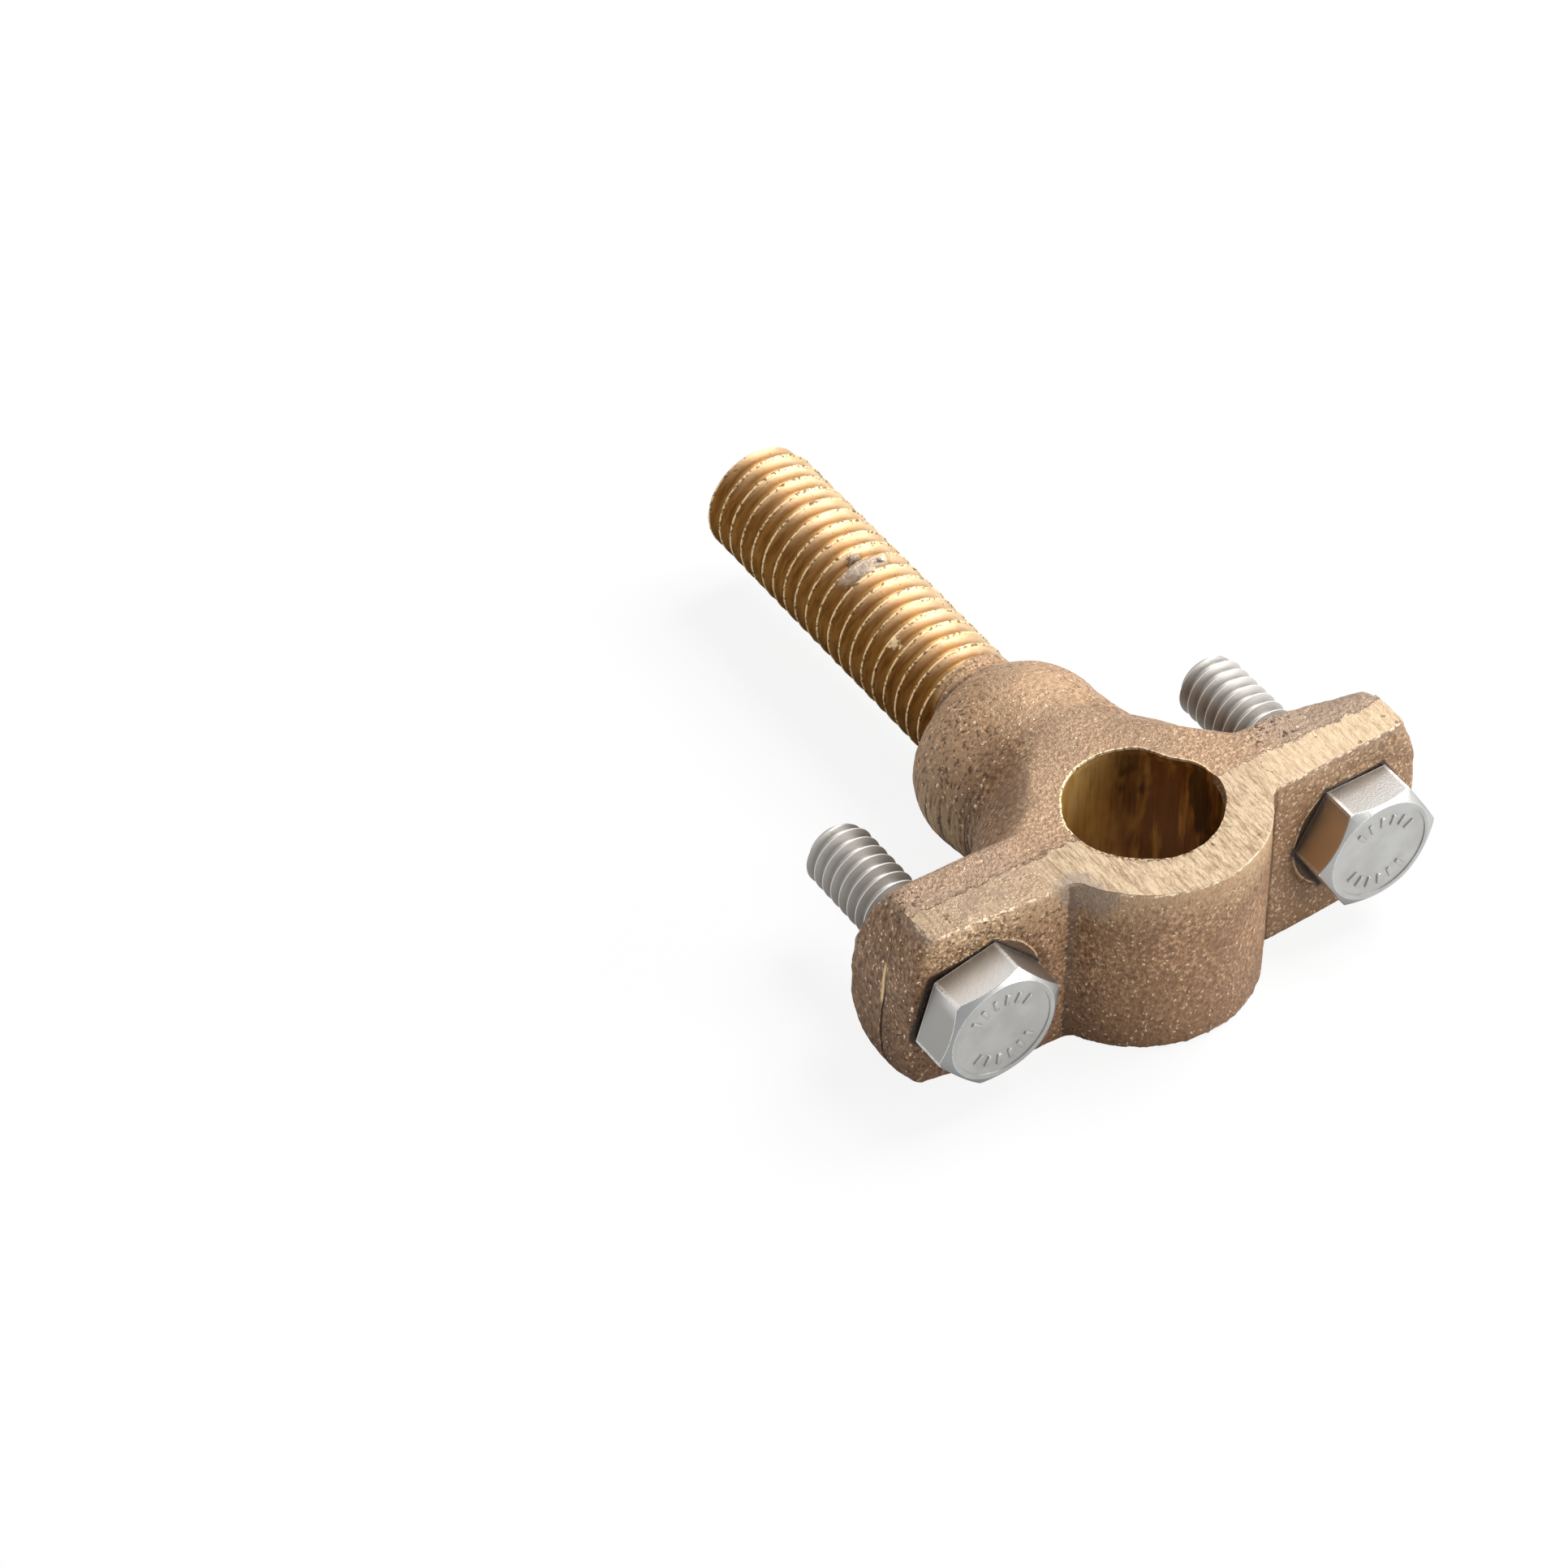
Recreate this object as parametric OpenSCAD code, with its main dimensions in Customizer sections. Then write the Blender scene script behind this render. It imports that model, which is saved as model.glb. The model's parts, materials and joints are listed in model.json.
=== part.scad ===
// Bonding connector: a cast bronze clamp for a round conductor or rod, with a
// threaded stud cast in one piece with its body.
//
// Frame (mm): Z runs along the conductor bore, Y from the clamp cap (-Y) to
// the stud (+Y), X along the two ears. The origin is on the bore axis at half
// height, where the stud axis crosses it.
//
// Pieces: the body with its stud, the clamp cap, and two hex bolts that pass
// through the cap and screw into tapped ears of the body. Threaded lengths are
// drawn as plain cylinders at their major diameter.

/* [Clamp] */
// height of the casting along the conductor bore
body_h = 18.5; // [17:0.1:22]
// diameter of the conductor bore
bore_d = 14.2; // [11:0.1:15]
// wall of the cap's half-round barrel
barrel_wall = 4.15; // [3.5:0.05:6]
// gap left between cap and body at the split
split_gap = 0.3; // [0.2:0.1:0.8]
// thickness of the cap's flat ears
cap_ear_t = 4.65; // [4:0.05:6.5]
// thickness of the body's ears at half height
body_ear_t = 5.3; // [4.5:0.05:7]
// how far the back of a body ear falls away at its top and bottom edges
ear_crown = 2.7; // [1:0.1:3]
// from a bolt axis to the end of its ear, at half height
ear_over = 6.4; // [5.8:0.1:8]
// how far an ear's end falls away at its top and bottom edges
end_crown = 1.9; // [0.6:0.1:2]
// fillet where the barrel meets the front of an ear
barrel_fillet = 1.2; // [1:0.1:2.8]

/* [Neck and stud] */
// radius of the concave web between a body ear and the neck, at half height
web_r = 10; // [6:0.1:11]
// how far the web falls away at its top and bottom edges
web_crown = 4.4; // [2:0.1:4.6]
// radius of the dome at the stud end of the neck
dome_r = 7.5; // [6:0.1:8]
// from the bore axis to where the dome begins
dome_y = 17.8; // [17:0.1:26]
// major diameter of the stud's thread
stud_d = 11.11; // [9:0.01:12]
// from the end of the dome to the tip of the stud
stud_len = 37.1; // [20:0.1:60]
// chamfer at the tip of the stud
stud_chamfer = 0.9; // [0.5:0.1:1.5]

/* [Bolts] */
// major diameter of the bolts' thread
bolt_d = 6.35; // [5:0.05:6.5]
// length of a bolt under its head
bolt_len = 22.2; // [16:0.1:32]
// hex head across flats
head_af = 10.9; // [9.5:0.1:11.1]
// height of the hex head
head_h = 4.1; // [3.4:0.1:5]
// chamfer at the bolt's tip
bolt_chamfer = 0.8; // [0.4:0.1:1]
// from one bolt axis to the other
bolt_spacing = 39.6; // [39:0.2:48]
// depth of the spot face under each head
spot_depth = 0.35; // [0.2:0.05:1]
// diametral clearance of a bolt in the cap
cap_clear = 0.7; // [0.4:0.1:1]
// diametral play of a bolt in its tapped ear
tap_play = 0.08; // [0.04:0.02:0.16]
// turn of the left head about its axis, degrees
left_turn = 14; // [0:1:60]
// turn of the right head about its axis, degrees
right_turn = 1; // [0:1:60]

/* [Hidden] */

$fn = 96;
eps = 0.01;

bore_r = bore_d / 2;
barrel_r = bore_r + barrel_wall;
bolt_x = bolt_spacing / 2;
ear_x = bolt_x + ear_over;
half_h = body_h / 2;

split_y = split_gap / 2;
cap_face_y = -split_y - cap_ear_t;
seat_y = cap_face_y + spot_depth;
ear_back_y = split_y + body_ear_t;

head_corner_r = head_af / sqrt(3);
head_top_r = 0.475 * head_af;
head_drop = (head_corner_r - head_top_r) * tan(30);
spot_d = 2 * head_corner_r + 1.2;

neck_r = half_h - 0.1;
dome_x = neck_r - dome_r;
dome_end_y = dome_y + sqrt(pow(dome_r, 2) - pow(stud_d / 2 - dome_x, 2));
stud_tip_y = dome_end_y + stud_len;

web_mid = (neck_r + ear_back_y) / sqrt(2) + (sqrt(2) - 1) * web_r;

bronze = [0.66, 0.50, 0.37];
bronze_light = [0.70, 0.54, 0.40];
stainless = [0.68, 0.68, 0.66];

// radius of an arc that falls by `fall` at half a chord of `half`
function arc_r(half, fall) = (pow(half, 2) + pow(fall, 2)) / (2 * fall);

// turns what is drawn along +Z to run along +Y
module along_y() {
    rotate([-90, 0, 0]) children();
}

// a bar from y0 to y1 whose two ends are crowned over the height
module ear_bar(y0, y1) {
    r = arc_r(half_h, end_crown);
    intersection() {
        translate([-ear_x, y0, -half_h]) cube([2 * ear_x, y1 - y0, body_h]);
        for (s = [-1, 1])
            translate([s * (ear_x - r), y0 - 1, 0])
                along_y() cylinder(r = r, h = y1 - y0 + 2, $fn = 192);
    }
}

// one hole along Y on each bolt axis
module bolt_holes(d, y0, y1) {
    for (s = [-1, 1])
        translate([s * bolt_x, y0, 0]) along_y() cylinder(d = d, h = y1 - y0);
}

// body ears: flat at the split, crowned at the back
module body_ears() {
    r = arc_r(half_h, ear_crown);
    intersection() {
        ear_bar(split_y, ear_back_y + 1);
        translate([-ear_x - 1, ear_back_y - r, 0])
            rotate([0, 90, 0]) cylinder(r = r, h = 2 * ear_x + 2, $fn = 192);
    }
}

// web that fills the corner between an ear's back and the neck
module web() {
    r = arc_r(half_h, web_crown);
    c = [neck_r + web_r, ear_back_y + web_r];
    intersection() {
        translate([0, 0, -half_h]) linear_extrude(body_h)
            difference() {
                polygon([[0, split_y], [c.x, split_y], [c.x, c.y], [0, c.y]]);
                translate(c) circle(r = web_r);
            }
        rotate([0, 0, 45]) translate([web_mid - r, 0, 0])
            along_y() cylinder(r = r, h = 4 * ear_x, center = true, $fn = 192);
    }
}

// round neck that ends in a dome, with the stud standing on it
module neck() {
    a = acos((stud_d / 2 - dome_x) / dome_r);
    steps = 24;
    rotate([-90, 0, 0]) rotate_extrude()
        polygon(concat(
            [[0, split_y], [neck_r, split_y]],
            [for (i = [0 : steps])
                [dome_x + dome_r * cos(a * i / steps), dome_y + dome_r * sin(a * i / steps)]],
            [[0, dome_end_y]]
        ));
}

module stud() {
    translate([0, dome_y, 0]) along_y() cylinder(d = stud_d, h = stud_tip_y - stud_chamfer - dome_y);
    translate([0, stud_tip_y - stud_chamfer, 0]) along_y()
        cylinder(d1 = stud_d, d2 = stud_d - 2 * stud_chamfer, h = stud_chamfer);
}

module stud_body() {
    color(bronze)
        difference() {
            union() {
                body_ears();
                web();
                mirror([1, 0, 0]) web();
                neck();
                stud();
            }
            translate([0, 0, -half_h - 1]) cylinder(r = bore_r, h = body_h + 2);
            bolt_holes(bolt_d + tap_play, split_y - 1, ear_back_y + 2);
        }
}

// half-round barrel of the cap, with the fillets that lead into its ears
module barrel() {
    cy = cap_face_y - barrel_fillet;
    cx = sqrt(pow(barrel_r + barrel_fillet, 2) - pow(cy, 2));
    k = barrel_r / (barrel_r + barrel_fillet);
    translate([0, 0, -half_h]) {
        cylinder(r = barrel_r, h = body_h, $fn = 144);
        for (s = [-1, 1])
            linear_extrude(body_h)
                difference() {
                    polygon([[s * k * cx, k * cy], [s * cx, cy], [s * cx, cap_face_y + 0.5],
                        [s * k * cx, cap_face_y + 0.5]]);
                    translate([s * cx, cy]) circle(r = barrel_fillet);
                }
    }
}

module clamp_cap() {
    color(bronze_light)
        difference() {
            union() {
                ear_bar(cap_face_y, -split_y);
                barrel();
            }
            translate([-ear_x - 1, -split_y, -half_h - 1])
                cube([2 * ear_x + 2, barrel_r + 2, body_h + 2]);
            translate([0, 0, -half_h - 1]) cylinder(r = bore_r, h = body_h + 2);
            bolt_holes(bolt_d + cap_clear, cap_face_y - 1, 1);
            bolt_holes(spot_d, cap_face_y - head_h, seat_y);
        }
}

// hex bolt: its head stands in front of the seat, its shank runs back
module hex_bolt(turn) {
    translate([0, seat_y, 0]) rotate([90, 0, 0])
        intersection() {
            linear_extrude(head_h) rotate(turn) circle(r = head_corner_r, $fn = 6);
            rotate_extrude()
                polygon([[0, -1], [head_corner_r + 1, -1], [head_corner_r + 1, head_h - head_drop
                    - tan(30)], [head_top_r, head_h], [0, head_h]]);
        }
    translate([0, seat_y - eps, 0]) along_y() cylinder(d = bolt_d, h = bolt_len - bolt_chamfer + eps);
    translate([0, seat_y + bolt_len - bolt_chamfer, 0]) along_y()
        cylinder(d1 = bolt_d, d2 = bolt_d - 2 * bolt_chamfer, h = bolt_chamfer);
}

module left_bolt() {
    color(stainless) translate([-bolt_x, 0, 0]) hex_bolt(left_turn);
}

module right_bolt() {
    color(stainless) translate([bolt_x, 0, 0]) hex_bolt(right_turn);
}

stud_body();
clamp_cap();
left_bolt();
right_bolt();
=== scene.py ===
# %% [markdown]
# # A bonding connector, dressed for its portrait
# The real thing is a small clamp: two bronze castings squeezed together by two stainless bolts, with a
# threaded stud cast on the back. This lesson adds what a foundry and a machine shop leave behind: soft
# edges, sand grain, ground faces, cut threads.

# %% Load the solids and keep their box
import json
import math

import bmesh
import bpy
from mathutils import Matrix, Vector, noise

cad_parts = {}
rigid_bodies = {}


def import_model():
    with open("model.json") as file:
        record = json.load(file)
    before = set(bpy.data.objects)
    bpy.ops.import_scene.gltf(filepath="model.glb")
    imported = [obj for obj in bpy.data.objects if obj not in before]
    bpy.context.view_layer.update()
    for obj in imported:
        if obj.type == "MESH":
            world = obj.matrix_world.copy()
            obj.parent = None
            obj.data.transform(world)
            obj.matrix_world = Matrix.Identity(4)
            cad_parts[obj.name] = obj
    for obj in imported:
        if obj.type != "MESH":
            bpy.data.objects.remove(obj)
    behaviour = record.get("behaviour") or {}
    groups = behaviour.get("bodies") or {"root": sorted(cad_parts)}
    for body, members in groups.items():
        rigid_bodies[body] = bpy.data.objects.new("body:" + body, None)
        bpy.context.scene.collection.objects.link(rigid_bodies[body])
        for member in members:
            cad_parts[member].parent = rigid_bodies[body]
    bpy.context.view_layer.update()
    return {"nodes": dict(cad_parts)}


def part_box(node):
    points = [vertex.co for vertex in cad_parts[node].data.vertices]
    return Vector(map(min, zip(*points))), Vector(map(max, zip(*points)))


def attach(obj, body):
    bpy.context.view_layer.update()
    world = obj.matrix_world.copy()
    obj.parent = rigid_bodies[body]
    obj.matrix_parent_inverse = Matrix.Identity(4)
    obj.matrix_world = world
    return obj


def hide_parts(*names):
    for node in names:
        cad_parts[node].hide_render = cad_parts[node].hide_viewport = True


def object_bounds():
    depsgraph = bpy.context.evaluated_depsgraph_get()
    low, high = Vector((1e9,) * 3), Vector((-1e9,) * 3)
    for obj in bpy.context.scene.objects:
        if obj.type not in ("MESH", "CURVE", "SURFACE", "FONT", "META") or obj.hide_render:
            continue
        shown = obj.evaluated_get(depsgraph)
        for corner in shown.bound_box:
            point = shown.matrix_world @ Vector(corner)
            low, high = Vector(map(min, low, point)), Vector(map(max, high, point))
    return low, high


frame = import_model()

MM = 0.001

# %% Sizes taken from the solids
body_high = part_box("stud_body")[1] / MM
cap_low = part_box("clamp_cap")[0] / MM
bolt_low, bolt_high = (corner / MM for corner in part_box("left_bolt"))
half_height = body_high.z
bolt_x = -(bolt_low.x + bolt_high.x) / 2
tip_y = body_high.y
# A box doesn't show the bore, so its radius is written down.
BORE_R = 7.1
print("half height", round(half_height, 3), "bolt axis", round(bolt_x, 3), "stud tip", round(tip_y, 3))

# %% [markdown]
# ## Hand tools
# Blender's operators work on whatever is selected, just as they do under the mouse. A script could also
# write the mesh data straight away, but operators are what you would use by hand. These few helpers select
# one piece, pick points of it by their place, apply a modifier, and saw or join pieces, so that each later
# step reads like a note on the workshop wall. Places are in millimetres.

# %% Select a piece, or points of it
def clear_bench():
    """Leaves edit mode and selects nothing."""
    if bpy.context.object and bpy.context.object.mode != "OBJECT":
        bpy.ops.object.mode_set(mode="OBJECT")
    bpy.ops.object.select_all(action="DESELECT")


def only(piece):
    """Leaves edit mode and selects this piece alone."""
    clear_bench()
    piece.select_set(True)
    bpy.context.view_layer.objects.active = piece
    return piece


def pick(piece, wanted=lambda place: True):
    """Edit mode, with the points selected whose place in mm is wanted."""
    only(piece)
    bpy.ops.object.mode_set(mode="EDIT")
    bpy.ops.mesh.select_mode(type="VERT")
    bpy.ops.mesh.select_all(action="DESELECT")
    bpy.ops.object.mode_set(mode="OBJECT")
    for point in piece.data.vertices:
        point.select = bool(wanted(point.co / MM))
    bpy.ops.object.mode_set(mode="EDIT")
    bpy.ops.mesh.select_mode(type="VERT")


# %% Apply a modifier, saw, add a rod, join, measure
def work(piece, kind, **settings):
    """Adds a modifier, sets it and applies it."""
    only(piece)
    tool = piece.modifiers.new(kind.title(), kind)
    for name, value in settings.items():
        setattr(tool, name, value)
    bpy.ops.object.modifier_apply(modifier=tool.name)


def slice_off(piece, at, towards):
    """Saws the piece at a plane, drops the side it looks towards and closes the cut."""
    pick(piece)
    bpy.ops.mesh.bisect(plane_co=Vector(at) * MM, plane_no=towards, use_fill=True, clear_outer=True,
                        threshold=1e-8)
    only(piece)


def rod(name, radius, start, end, sides=96):
    """A round bar from one point to another, along Y or Z."""
    start, end = Vector(start), Vector(end)
    turn = (math.pi / 2, 0, 0) if abs(end.y - start.y) > abs(end.z - start.z) else (0, 0, 0)
    clear_bench()
    bpy.ops.mesh.primitive_cylinder_add(vertices=sides, radius=radius * MM, depth=(end - start).length * MM,
                                        location=(start + end) / 2 * MM, rotation=turn)
    bpy.ops.object.transform_apply(location=True, rotation=True, scale=True)
    bpy.context.object.name = name
    return bpy.context.object


def put_together(piece, *others):
    """Joins other meshes into the piece."""
    only(piece)
    for other in others:
        other.select_set(True)
    bpy.ops.object.join()


def facts(piece):
    """Prints how many faces a piece has, and its size."""
    size = [round(d / MM, 2) for d in piece.dimensions]
    print(piece.name, "faces:", len(piece.data.polygons), "size in mm:", size)


# %% [markdown]
# ## The body casting
# The body is sand cast: every edge that the pattern had comes out round, the skin is a little lumpy, and
# the shape leaves the drawing here and there by a millimetre or so. One could bevel each edge, but a
# casting's corners melt into each other. So the solid is copied, merged, filled where the bore will be
# reamed, remeshed into even small squares, and smoothed until its edges have a radius of about a
# millimetre. The split face and the bore are cut afterwards, because those edges are crisp.

# %% Copy the body without its stud, and soften it
STUD_FOOT_Y = 24.5
AT_SPLIT = 0.2
SPARE = 1.6
PLUG_R = BORE_R + 0.3


def casting_from(node, name):
    """A merged copy of a CAD solid to work on; the solid itself is left alone."""
    piece = bpy.data.objects.new(name, frame["nodes"][node].data.copy())
    bpy.context.scene.collection.objects.link(piece)
    piece.data.materials.clear()
    pick(piece)
    bpy.ops.mesh.remove_doubles(threshold=1e-7)
    only(piece)
    return piece


def soften(piece, square, rounds):
    """Remeshes a casting into small squares and rubs its edges round."""
    work(piece, "REMESH", mode="VOXEL", voxel_size=square * MM, adaptivity=0)
    work(piece, "SMOOTH", factor=0.5, iterations=rounds)


casting = casting_from("stud_body", "body_casting")
slice_off(casting, (0, STUD_FOOT_Y, 0), (0, 1, 0))
pick(casting, lambda p: p.y < AT_SPLIT)
bpy.ops.transform.translate(value=(0, -SPARE * MM, 0))
put_together(casting, rod("bore_plug", PLUG_R, (0, 0, -half_height), (0, 0, half_height)))
soften(casting, square=0.27, rounds=7)
facts(casting)

# %% Rub and push, as a sculptor does
def rise(value, low, high):
    """0 below low, 1 above high, even between."""
    return min(max((value - low) / (high - low), 0.0), 1.0)


def rub(piece, name, where, rounds):
    """Rubs one region rounder: where(place in mm) is 1 in its middle and 0 outside."""
    region = piece.vertex_groups.new(name=name)
    for point in piece.data.vertices:
        share = where(point.co / MM)
        if share > 0:
            region.add([point.index], share, "REPLACE")
    work(piece, "SMOOTH", factor=0.5, iterations=rounds, vertex_group=name)
    piece.vertex_groups.clear()


def push(piece, move):
    """Moves every point by what move(place) says, in mm, as a sculptor's grab brush does."""
    for point in piece.data.vertices:
        point.co += Vector(move(point.co / MM)) * MM


# %% What both castings share: square ends, round ears, a lumpy skin
FINE_LUMPS = (0.09, 0.55)
COARSE_ACROSS = 1.6


def square_end(p):
    """How far along X an ear's end stands off the drawing: out at the right, and out at the lower left."""
    right_end = rise(p.x, 22, 26) * rise(p.z, -8, 3)
    left_heel = rise(-p.x, 20, 26) * rise(-p.z, 0, 7)
    return 0.95 * right_end - 1.1 * left_heel


def round_ears(piece):
    """Rubs the ends of both ears round, and the lower left one a little more."""
    rub(piece, "ear ends", lambda p: rise(abs(p.x), 20.5, 24.0), rounds=40)
    rub(piece, "left heel", lambda p: rise(-p.x, 18.0, 23.5) * rise(-p.z, 1.0, 6.0), rounds=6)


def mould_lumps(piece, height):
    """The unevenness that a sand mould leaves: lumps of this height in mm, then finer ones on them."""
    for strength, across in ((height, COARSE_ACROSS), FINE_LUMPS):
        lumps = bpy.data.textures.new("sand mould lumps", "CLOUDS")
        lumps.noise_scale = across * MM
        lumps.noise_depth = 2
        work(piece, "DISPLACE", texture=lumps, texture_coords="LOCAL", strength=strength * MM, mid_level=0.5)


# %% Where the real body leaves the drawing
def hollows(p):
    """1 in the hollows between the neck and the ears."""
    return rise(p.y, 8.0, 11.0) * rise(abs(p.x), 7.0, 9.0) * rise(22.5 - p.y, 0.0, 2.0)


def settle(p):
    """A fuller left cheek, a tighter hollow beside it, a fuller right web, a lower right ear, square ends."""
    cheek = rise(-p.x, 4.0, 9.0) * rise(p.y, 13.0, 17.0) * rise(24.0 - p.y, 0.0, 2.0)
    hollow = rise(4.6 - math.hypot(p.x + 9.2, p.y - 5.4), 0.0, 3.6) * rise(p.z, -1.0, 6.0)
    web = rise(5.0 - (p - Vector((8.2, 11.4, 6.6))).length, 0.0, 4.2)
    right_top = rise(p.x, 16, 26) * rise(p.z, 3, 9) * rise(p.y, 0.6, 3.0)
    return (0.75 * web - 0.8 * cheek + 0.3 * hollow + square_end(p),
            0.6 * web - 0.45 * hollow - 1.25 * right_top,
            0.2 * web - 1.0 * right_top)


def neck_flow(p):
    """1 where the neck flows into the top of the body and into the right ear, without a crease."""
    along = rise(p.y, 7.0, 10.0) * rise(18.5 - p.y, 0.0, 3.0)
    on_top = rise(p.z, 4.5, 7.0) * rise(p.x, -6.0, -3.5)
    on_right = rise(p.z, -2.0, 3.0) * rise(p.x, 4.5, 7.0)
    return along * max(on_top, on_right)


rub(casting, "hollows", hollows, rounds=8)
push(casting, settle)
rub(casting, "neck", neck_flow, rounds=150)
round_ears(casting)
mould_lumps(casting, height=0.14)
facts(casting)

# %% [markdown]
# ### Saw and reamer
# The body was sawn off flat at the split and its bore was reamed, but a thin lip of cast skin stayed at the
# bore's mouth. One could paint that lip, but its wavy edge shows against the bore, so it is cut as well: the
# reamer stops short of the top, and a second cutter with a wavy edge opens the mouth. A Boolean modifier does
# the cutting. It can leave slivers and loose chips, so the piece is swept afterwards.

# %% Cut, and sweep up afterwards
SLIVER = 0.002


def cut(piece, tool, operation="DIFFERENCE"):
    """Drills or trims the piece with another shape, which is used up."""
    work(piece, "BOOLEAN", operation=operation, object=tool, solver="EXACT")
    bpy.data.objects.remove(tool)


def sweep(piece, kept, in_triangles=False):
    """Closes faces with no width, then sweeps away flaps, and chips that don't hang on the kept points."""
    pick(piece)
    bpy.ops.mesh.remove_doubles(threshold=SLIVER * MM)
    bpy.ops.mesh.dissolve_degenerate(threshold=SLIVER * MM)
    if in_triangles:
        bpy.ops.mesh.quads_convert_to_tris(quad_method="BEAUTY", ngon_method="BEAUTY")
        bpy.ops.mesh.dissolve_degenerate(threshold=2 * SLIVER * MM)
        bpy.ops.mesh.quads_convert_to_tris(quad_method="BEAUTY", ngon_method="BEAUTY")
    pick(piece, kept)
    bpy.ops.mesh.select_linked()
    bpy.ops.mesh.select_all(action="INVERT")
    bpy.ops.mesh.delete(type="VERT")
    only(piece)
    mesh = bmesh.new()
    mesh.from_mesh(piece.data)
    flaps = [face for face in mesh.faces if any(edge.is_boundary for edge in face.edges)]
    bmesh.ops.delete(mesh, geom=flaps, context="FACES")
    mesh.to_mesh(piece.data)
    mesh.free()
    print(piece.name, "flaps swept away:", len(flaps))


# %% Saw the split face and ream the bore
LIP = 0.8
OUTSIDE = 14
CHIP, CHIPS_PER_MM = 0.07, 1.7
HALF_SPLIT, SAW_LEAN = 0.07, 0.007


def ease(value, low, high):
    """As rise, with a soft start and end."""
    share = rise(value, low, high)
    return share * share * (3 - 2 * share)


def ream(piece, mouth_edge):
    """Reams the bore from below, and leaves a thin cast lip at its mouth with an edge of its own."""
    cut(piece, rod("reamer", BORE_R, (0, 0, -OUTSIDE), (0, 0, half_height - LIP), 160))
    mouth = rod("mouth", BORE_R, (0, 0, half_height - LIP - 0.05), (0, 0, OUTSIDE), 240)
    for point in mouth.data.vertices:
        angle = math.degrees(math.atan2(point.co.y, point.co.x))
        spot = Vector((point.co.x / MM * CHIPS_PER_MM, point.co.y / MM * CHIPS_PER_MM, 0))
        share = (mouth_edge(angle) + CHIP * noise.noise(spot)) / BORE_R
        point.co.x *= share
        point.co.y *= share
    cut(piece, mouth)


def body_mouth(angle, ramp=ease):
    """Radius of the body's lip, which reaches into the bore by tenths of a millimetre, most at the right."""
    all_round = 0.25 * ramp(angle, 8, 40) * (1 - ramp(angle, 147, 172))
    at_right = 0.70 * ramp(angle, 4, 33) * (1 - ramp(angle, 33, 62))
    return BORE_R - all_round - at_right


slice_off(casting, (0, HALF_SPLIT, 0), (0, -1, -SAW_LEAN))
ream(casting, body_mouth)
sweep(casting, lambda p: p.y > STUD_FOOT_Y - 0.5, in_triangles=True)
facts(casting)

# %% [markdown]
# ## The clamp cap
# The cap is cast in the same way, then its top is ground flat on a wheel. Grinding leaves a crisp edge
# between the flat and the cast sides. One could crease that edge, but it is simpler to do as the wheel does:
# the cap is first cast a little too tall, softened, and then sawn off at its true height. The seats under
# the bolt heads are milled last, so they are sharp as well.

# %% Cast the cap too tall
GRINDING = 0.45
EAR_FRONT_Y = -4.8
SEAT_R = 6.4

cap = casting_from("clamp_cap", "cap_casting")
pick(cap, lambda p: p.y > -AT_SPLIT)
bpy.ops.transform.translate(value=(0, SPARE * MM, 0))
pick(cap, lambda p: p.z > half_height - 0.01)
bpy.ops.transform.translate(value=(0, 0, GRINDING * MM))
plugs = [rod("bore_plug", PLUG_R, (0, 0, -half_height), (0, 0, half_height + GRINDING))]
for side in (-1, 1):
    plugs.append(rod("seat_plug", SEAT_R - 0.1, (side * bolt_x, EAR_FRONT_Y, 0), (side * bolt_x, 0, 0)))
put_together(cap, *plugs)
soften(cap, square=0.25, rounds=8)
facts(cap)

# %% Settle the cap, then saw its split and grind its top
def settle_cap(p):
    """Where the real cap leaves the drawing: square ends, drafted ears, a raised toe at the lower left."""
    draft = 0.38 * rise(abs(p.x), 12.5, 18.5) + 0.3 * rise(abs(p.x), 18.5, 26.2)
    toe = rise(-p.x, 14, 23) * rise(-p.z, 4.5, 9.0) * rise(-p.y, 0.5, 4.5)
    return square_end(p), draft * rise(-p.y, 2.5, 4.6), 1.5 * toe


def left_brow(p):
    """1 along the front of the left ear's top."""
    return rise(-p.x, 9.0, 15.0) * rise(p.z, 4.0, 7.0) * rise(-p.y, 1.5, 3.0)


push(cap, settle_cap)
round_ears(cap)
rub(cap, "left brow", left_brow, rounds=60)
mould_lumps(cap, height=0.18)
slice_off(cap, (0, -HALF_SPLIT, 0), (0, 1, -SAW_LEAN))
slice_off(cap, (0, 0, half_height), (0, 0, 1))
facts(cap)

# %% Ream the bore, mill the seats and drill for the bolts
SEAT_Y = -4.45
DRILL_R = 3.52
TOOL_FRONT_Y, TOOL_BACK_Y = -9, 3


def cap_mouth(angle):
    """Radius of the cap's lip: it reaches into the bore at the left and stands back at the right."""
    at_left = 0.25 * ease(angle, -168, -130) * (1 - ease(angle, -130, -95))
    at_right = 0.25 * ease(angle, -45, -18) * (1 - ease(angle, -10, 0))
    return BORE_R - at_left + at_right


ream(cap, cap_mouth)
for side in (-1, 1):
    in_front = (side * bolt_x, TOOL_FRONT_Y, 0)
    cut(cap, rod("seat_mill", SEAT_R, in_front, (side * bolt_x, SEAT_Y, 0)))
    cut(cap, rod("drill", DRILL_R, in_front, (side * bolt_x, TOOL_BACK_Y, 0), 64))
sweep(cap, lambda p: p.y < cap_low.y + 0.75, in_triangles=True)
facts(cap)

# %% [markdown]
# ## Threads
# A thread is one groove wound along a rod. One could bend a flat strip round it, but the Screw modifier winds
# an outline directly: the outline of a single turn is drawn point by point with extrude, and the modifier
# turns it. The end of each turn meets the start of the next, so merging the doubles closes the surface; both
# ends are then sawn flat.

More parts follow.
